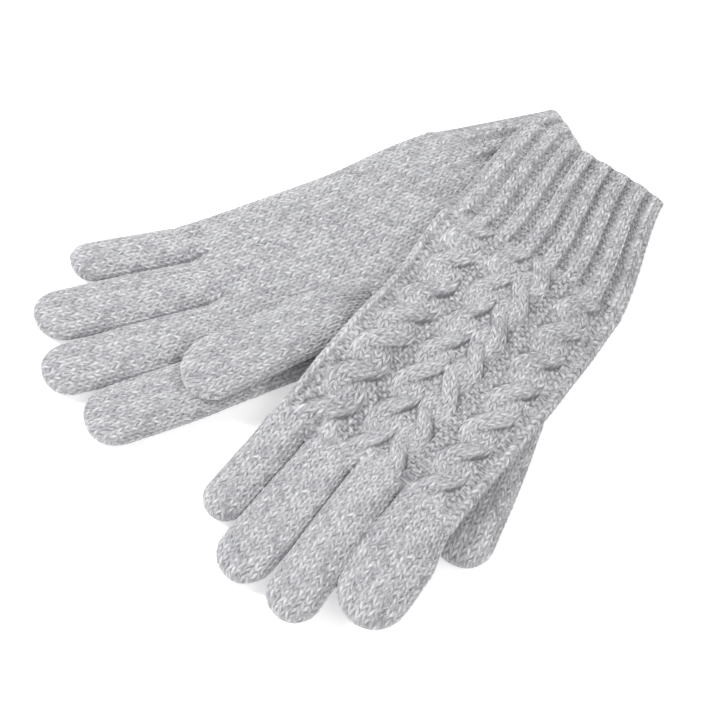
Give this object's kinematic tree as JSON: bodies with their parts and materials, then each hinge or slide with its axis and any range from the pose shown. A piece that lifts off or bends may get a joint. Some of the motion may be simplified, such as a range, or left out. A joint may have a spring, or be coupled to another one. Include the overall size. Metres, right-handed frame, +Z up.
{
  "type": "pair of knitted gloves",
  "caption": "Pair of soft knitted wool gloves with a ribbed cuff, cables down the back and a plain palm, lying one across the other.",
  "frame": {"origin": "middle of the pair's footprint, on the table", "axes": "+Z up, off the table; -X along the fingers of the left glove, -Y towards its thumb side; the right glove is turned 29 degrees from it"},
  "size_m": [0.273, 0.2104, 0.0289],
  "materials": {
    "ribbed_knit": "light heather grey wool knitted in a two by two rib, matt with a soft halo of fibres",
    "cable_knit": "light heather grey wool knitted in raised rope and horseshoe cables between sunken purl channels, matt with a soft halo of fibres",
    "plain_knit": "light heather grey wool in plain stocking stitch, matt with a soft halo of fibres"
  },
  "bodies": {
    "left_hand": {"left_back": "cable_knit", "left_palm": "plain_knit", "left_thumb_gusset": "plain_knit"},
    "left_cuff": {"left_cuff": "ribbed_knit"},
    "left_thumb": {"left_thumb": "plain_knit"},
    "left_little": {"left_little_finger": "plain_knit"},
    "left_ring": {"left_ring_finger": "plain_knit"},
    "left_middle": {"left_middle_finger": "plain_knit"},
    "left_index": {"left_index_finger": "plain_knit"},
    "right_hand": {"right_back": "cable_knit", "right_palm": "plain_knit", "right_thumb_gusset": "plain_knit"},
    "right_cuff": {"right_cuff": "ribbed_knit"},
    "right_thumb": {"right_thumb": "plain_knit"},
    "right_little": {"right_little_finger": "plain_knit"},
    "right_ring": {"right_ring_finger": "plain_knit"},
    "right_middle": {"right_middle_finger": "plain_knit"},
    "right_index": {"right_index_finger": "plain_knit"}
  },
  "joints": [
    {"name": "right_glove_lift", "type": "slide", "parent": "left_hand", "child": "right_hand", "axis": [0, 0, 1], "range_m": [0, 0.08]},
    {"name": "left_cuff_swing", "type": "hinge", "parent": "left_hand", "child": "left_cuff", "pos_m": [0.06374, 0.10324, 0.005], "axis": [0, 0, 1], "range_deg": [0, 20]},
    {"name": "right_cuff_fold", "type": "hinge", "parent": "right_hand", "child": "right_cuff", "pos_m": [0.0732, 0.01698, 0.02135], "axis": [0.4848, -0.8746, 0], "range_deg": [0, 75]},
    {"name": "left_little_fold", "type": "hinge", "parent": "left_hand", "child": "left_little", "pos_m": [-0.06226, 0.08849, 0.0103], "axis": [0, 1, 0], "range_deg": [0, 80]},
    {"name": "left_ring_fold", "type": "hinge", "parent": "left_hand", "child": "left_ring", "pos_m": [-0.06226, 0.06724, 0.0103], "axis": [0, 1, 0], "range_deg": [0, 80]},
    {"name": "left_middle_fold", "type": "hinge", "parent": "left_hand", "child": "left_middle", "pos_m": [-0.06226, 0.04424, 0.0103], "axis": [0, 1, 0], "range_deg": [0, 80]},
    {"name": "left_index_spread", "type": "hinge", "parent": "left_hand", "child": "left_index", "pos_m": [-0.06226, 0.00649, 0.005], "axis": [0, 0, 1], "range_deg": [0, 15]},
    {"name": "left_thumb_fold", "type": "hinge", "parent": "left_hand", "child": "left_thumb", "pos_m": [-0.03807, 0.02257, 0.0194], "axis": [0, 1, 0], "range_deg": [0, 60]},
    {"name": "right_little_fold", "type": "hinge", "parent": "right_hand", "child": "right_little", "pos_m": [-0.05379, -0.01282, 0.01355], "axis": [-0.4848, 0.8746, 0], "range_deg": [0, 80]},
    {"name": "right_ring_fold", "type": "hinge", "parent": "right_hand", "child": "right_ring", "pos_m": [-0.04375, -0.03155, 0.01368], "axis": [-0.4848, 0.8746, 0], "range_deg": [0, 80]},
    {"name": "right_middle_fold", "type": "hinge", "parent": "right_hand", "child": "right_middle", "pos_m": [-0.03288, -0.05182, 0.0197], "axis": [-0.4848, 0.8746, 0], "range_deg": [0, 80]},
    {"name": "right_index_fold", "type": "hinge", "parent": "right_hand", "child": "right_index", "pos_m": [-0.0213, -0.07341, 0.0197], "axis": [-0.4848, 0.8746, 0], "range_deg": [0, 80]},
    {"name": "right_thumb_spread", "type": "hinge", "parent": "right_hand", "child": "right_thumb", "pos_m": [0.01212, -0.08207, 0.0044], "axis": [0, 0, 1], "range_deg": [0, 40]}
  ]
}
